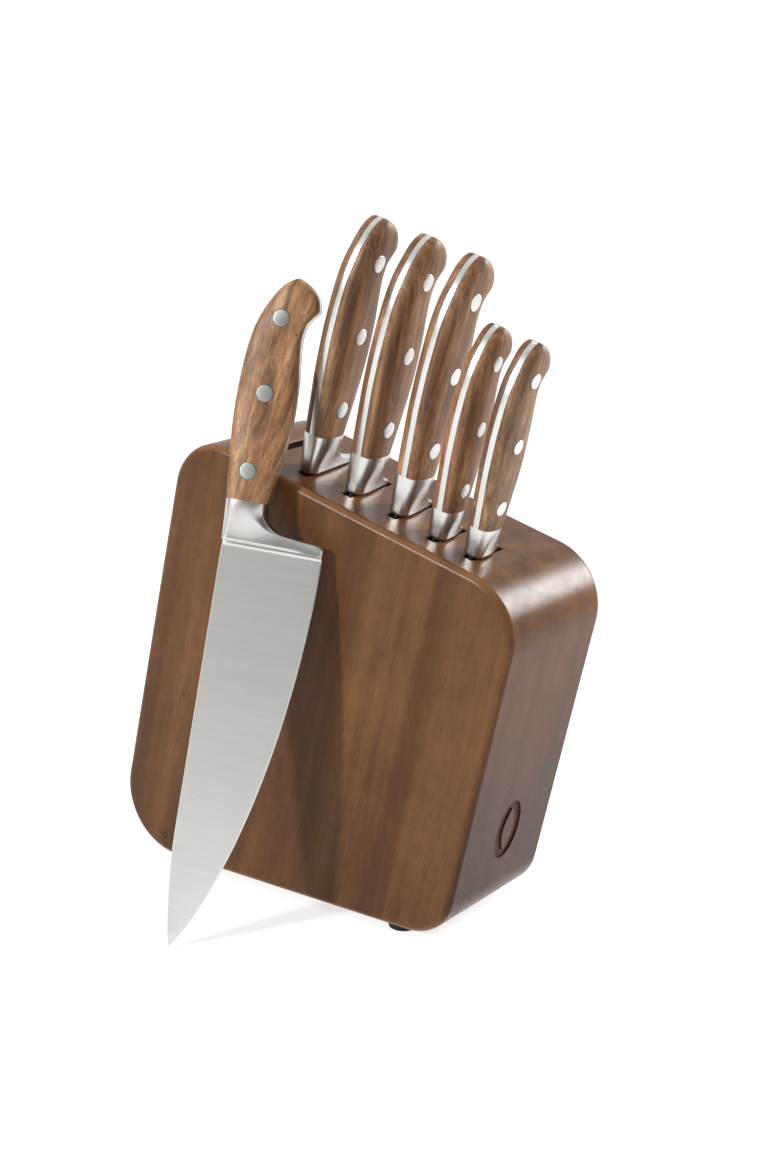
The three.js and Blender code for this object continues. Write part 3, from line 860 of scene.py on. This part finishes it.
def rivet_surface(handle, z):
    """Both low heads of one rivet, each in a thin dark ring that follows the wood: a dark joint line and
    painted shade of the narrow gap round the head.
    """
    sizes = handle.sizes
    radius = sizes["rivet"]
    y = RIVET_ACROSS * sizes["scale"] + z * math.tan(sizes["tilt"])
    count = 40
    surface = Surface()
    for side in (-1, 1):
        def ring(r, lift, direction=side):
            points = []
            for k in range(count):
                angle = 2 * math.pi * k / count
                py, pz = y + r * math.cos(angle), z + r * math.sin(angle)
                points.append((direction * (handle.flank(py, pz) + lift), py, pz))
            return points if direction > 0 else points[::-1]

        heads = [(radius * 1.0, -0.5), (radius * 1.0, 0.02), (radius * 0.985, 0.07), (radius * 0.95, 0.1),
                 (radius * 0.8, 0.12), (radius * 0.55, 0.13), (radius * 0.3, 0.135), (0.25, 0.14)]
        rings = [ring(r, lift) for r, lift in heads]
        surface.grid(rings, closed=True)
        surface.cap(rings[-1])
        # Dark ring round the head: painted shade of the gap, and the joint line.
        gap_shade = [ring(radius * 1.0, 0.03), ring(radius * 1.055, 0.012)]
        surface.grid(gap_shade[::-1], closed=True, slot=1)
    return surface


def build_knife(name, sizes, blade, place, seed, metals):
    handle = Handle(sizes)
    forging = Surface()
    add_blade(forging, handle, blade, serrated=name == "bread_knife")
    blade_height = blade[1]
    heel, lip = HEELS["deep blade" if blade_height > DEEP_BLADE else "narrow blade"]
    forging.loft(Bolster(handle, blade_height, heel, lip).rings(), slot=1)
    add_tang(forging, handle)
    wood = handle_wood(seed)
    obj = make_object(f"{name}_forging", forging, [metals["blade"], metals["satin"], metals["bevel"]], place)
    settle(obj, name, "blade_steel", f"{name}_blade")
    for side, label in ((-1, "left"), (1, "right")):
        surface = scale_surface(handle, side)
        obj = make_object(f"{name}_{label}_scale", surface, [wood], place, math.radians(50))
        settle(obj, name, "handle_wood", f"{name}_scale_{label}")
    for i, height in enumerate(sizes["rivets"]):
        surface = rivet_surface(handle, sizes["bolster"] + height)
        steels = [metals["rivet"], metals["gap_shade"]]
        obj = make_object(f"{name}_pin_{i + 1}", surface, steels, place)
        settle(obj, name, "rivet_steel", f"{name}_rivet_{i + 1}")


GAP = 0.3  # between pieces that touch


def slotted_place(slot_index, centre_y):
    spot = Matrix.Translation((SLOTS[slot_index][0], centre_y, GAP))
    place = TOP_FRAME @ spot
    place.translation *= MM
    return BLOCK_PLACE @ place


def leaning_place():
    """The chef's knife stands on its tip and leans back on the block's front top edge."""
    turn, tilt, roll = math.radians(24), math.radians(14.2), math.radians(6.7)
    facing = Vector((math.sin(turn) * math.cos(tilt), -math.cos(turn) * math.cos(tilt), math.sin(tilt)))
    level = Vector((math.cos(turn), math.sin(turn), 0))
    up = facing.cross(level) * math.cos(roll) + level * math.sin(roll)
    across = up.cross(facing)
    turned = Matrix((facing, across, up)).transposed()
    tip = Vector((112, -80, 0.5))
    tip_in_knife = Vector((0, SPINE_AT_BLADE + CHEF_BLADE[2], -CHEF_BLADE[0]))
    place = turned.to_4x4()
    place.translation = (tip - turned @ tip_in_knife) * MM
    return BLOCK_PLACE @ place


build_block(
    block_wood(),
    # Near-black painted shade for the walls inside the slots.
    plain("slot_painted_shade", (0.006, 0.0035, 0.0025), 0.95),
    plain("worn_wood", (0.2, 0.085, 0.035), 0.55),
    plain("pressed_wood", (0.06, 0.024, 0.01), 0.6),
)
build_feet(plain("foot_rubber", (0.014, 0.014, 0.014), 0.8))

METALS = {
    "blade": steel("blade_steel", (0.765, 0.76, 0.735), 0.31, (1, 0.012, 1), 1100, 0.04, 0.000012),
    "satin": steel("satin_steel", (0.6, 0.595, 0.575), 0.28, (1, 1, 0.04), 2200, 0.05, 0.000008),
    "bevel": steel("bevel_steel", (0.62, 0.615, 0.6), 0.28, (1, 0.2, 1), 2600, 0.03, 0.00001),
    "rivet": steel("rivet_steel", (0.6, 0.595, 0.58), 0.36, (1, 0.06, 1), 2600, 0.05, 0.00003),
    # Painted shade of the gap round the rivet heads, and their joint line.
    "gap_shade": plain("rivet_gap_shade", (0.02, 0.012, 0.008), 0.7),
}
for seed, (knife_name, (sizes, slot_index, centre_y, blade)) in enumerate(KNIVES.items()):
    build_knife(knife_name, sizes, blade, slotted_place(slot_index, centre_y), seed, METALS)
# A darker, rougher copy of the rivet steel for the chef's knife, whose rivets face the dark side of the
# studio: painted shade.
RIVET_STEEL_SHADED_COPY = steel("rivet_steel_shaded_copy", (0.27, 0.28, 0.27), 0.5, (1, 0.06, 1), 2600, 0.05, 0.00003)
build_knife("chef_knife", LARGE, CHEF_BLADE, leaning_place(), 5, {**METALS, "rivet": RIVET_STEEL_SHADED_COPY})


# ---------------------------------------------------------------- floor, light and camera
def build_floor():
    """A white studio floor, turned up at its far edges into a low white backdrop."""
    far, rise = 40000, 2000
    corners = [(-far, -far), (far, -far), (far, far), (-far, far)]
    surface = Surface()
    surface.cap([(x, y, 0) for x, y in corners])
    surface.grid([[(x, y, z) for x, y in corners] for z in (rise, 0)], closed=True)
    s = Shader("floor")
    s.surface.inputs["Base Color"].default_value = (0.5, 0.5, 0.5, 1)
    s.surface.inputs["Roughness"].default_value = 0.7
    s.surface.inputs["Emission Color"].default_value = (1, 1, 1, 1)
    s.surface.inputs["Emission Strength"].default_value = 0.72
    floor = make_object("floor", surface, [s.material], Matrix.Identity(4))
    floor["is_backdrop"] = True


def build_world():
    """Bright overhead and at the back on the left, dim along the horizon elsewhere, as in a studio."""
    world = bpy.data.worlds.new("studio")
    bpy.context.scene.world = world
    world.use_nodes = True
    tree = world.node_tree
    background = tree.nodes["Background"]
    direction = tree.nodes.new("ShaderNodeTexCoord")
    towards = tree.nodes.new("ShaderNodeVectorMath")
    towards.operation = "DOT_PRODUCT"
    tree.links.new(direction.outputs["Generated"], towards.inputs[0])
    towards.inputs[1].default_value = Vector((-0.45, 0.45, 0.77)).normalized()
    ramp = tree.nodes.new("ShaderNodeValToRGB")
    tree.links.new(towards.outputs["Value"], ramp.inputs[0])
    ramp.color_ramp.elements[0].position = 0.15
    ramp.color_ramp.elements[0].color = (0.14, 0.14, 0.14, 1)
    ramp.color_ramp.elements[1].position = 0.7
    ramp.color_ramp.elements[1].color = (1.0, 1.0, 1.0, 1)
    tree.links.new(ramp.outputs[0], background.inputs["Color"])
    background.inputs["Strength"].default_value = 1.0


def aim(obj, position, target):
    position, target = Vector(position), Vector(target)
    obj.location = position
    obj.rotation_euler = (target - position).to_track_quat("-Z", "Y").to_euler()


def add_light(name, kind, towards, distance, target, **settings):
    data = bpy.data.lights.new(name, kind)
    for key, value in settings.items():
        setattr(data, key, value)
    light = bpy.data.objects.new(name, data)
    bpy.context.scene.collection.objects.link(light)
    target = Vector(target)
    aim(light, target + Vector(towards).normalized() * distance, target)


build_floor()
build_world()
CENTRE = ORIGIN + Vector((0.15, 0.04, 0.14))
TOP_CORNER = ORIGIN + Vector((0.235, 0.04, 0.2))
add_light("key", "SUN", (-0.42, -1.0, 0.5), 3, CENTRE,
          energy=2.6, angle=math.radians(6), color=(1, 0.985, 0.96))
add_light("back", "AREA", (0.46, 0.79, 0.44), 1.3, TOP_CORNER,
          energy=3.9, shape="RECTANGLE", size=0.35, size_y=0.85, spread=math.radians(60))

bpy.context.scene.view_settings.view_transform = "Standard"

camera_data = bpy.data.cameras.new("camera")
camera_data.sensor_width = 36
camera_data.lens = 61.06
camera_data.clip_end = 200
camera = bpy.data.objects.new("camera", camera_data)
bpy.context.scene.collection.objects.link(camera)
aim(camera, ORIGIN + Vector((0.744, -0.747, 0.454)), ORIGIN + Vector((0.1925, 0, 0.1861)))
bpy.context.scene.camera = camera

[[list(corner) for corner in box] for box in (CAD_BOX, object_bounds())]
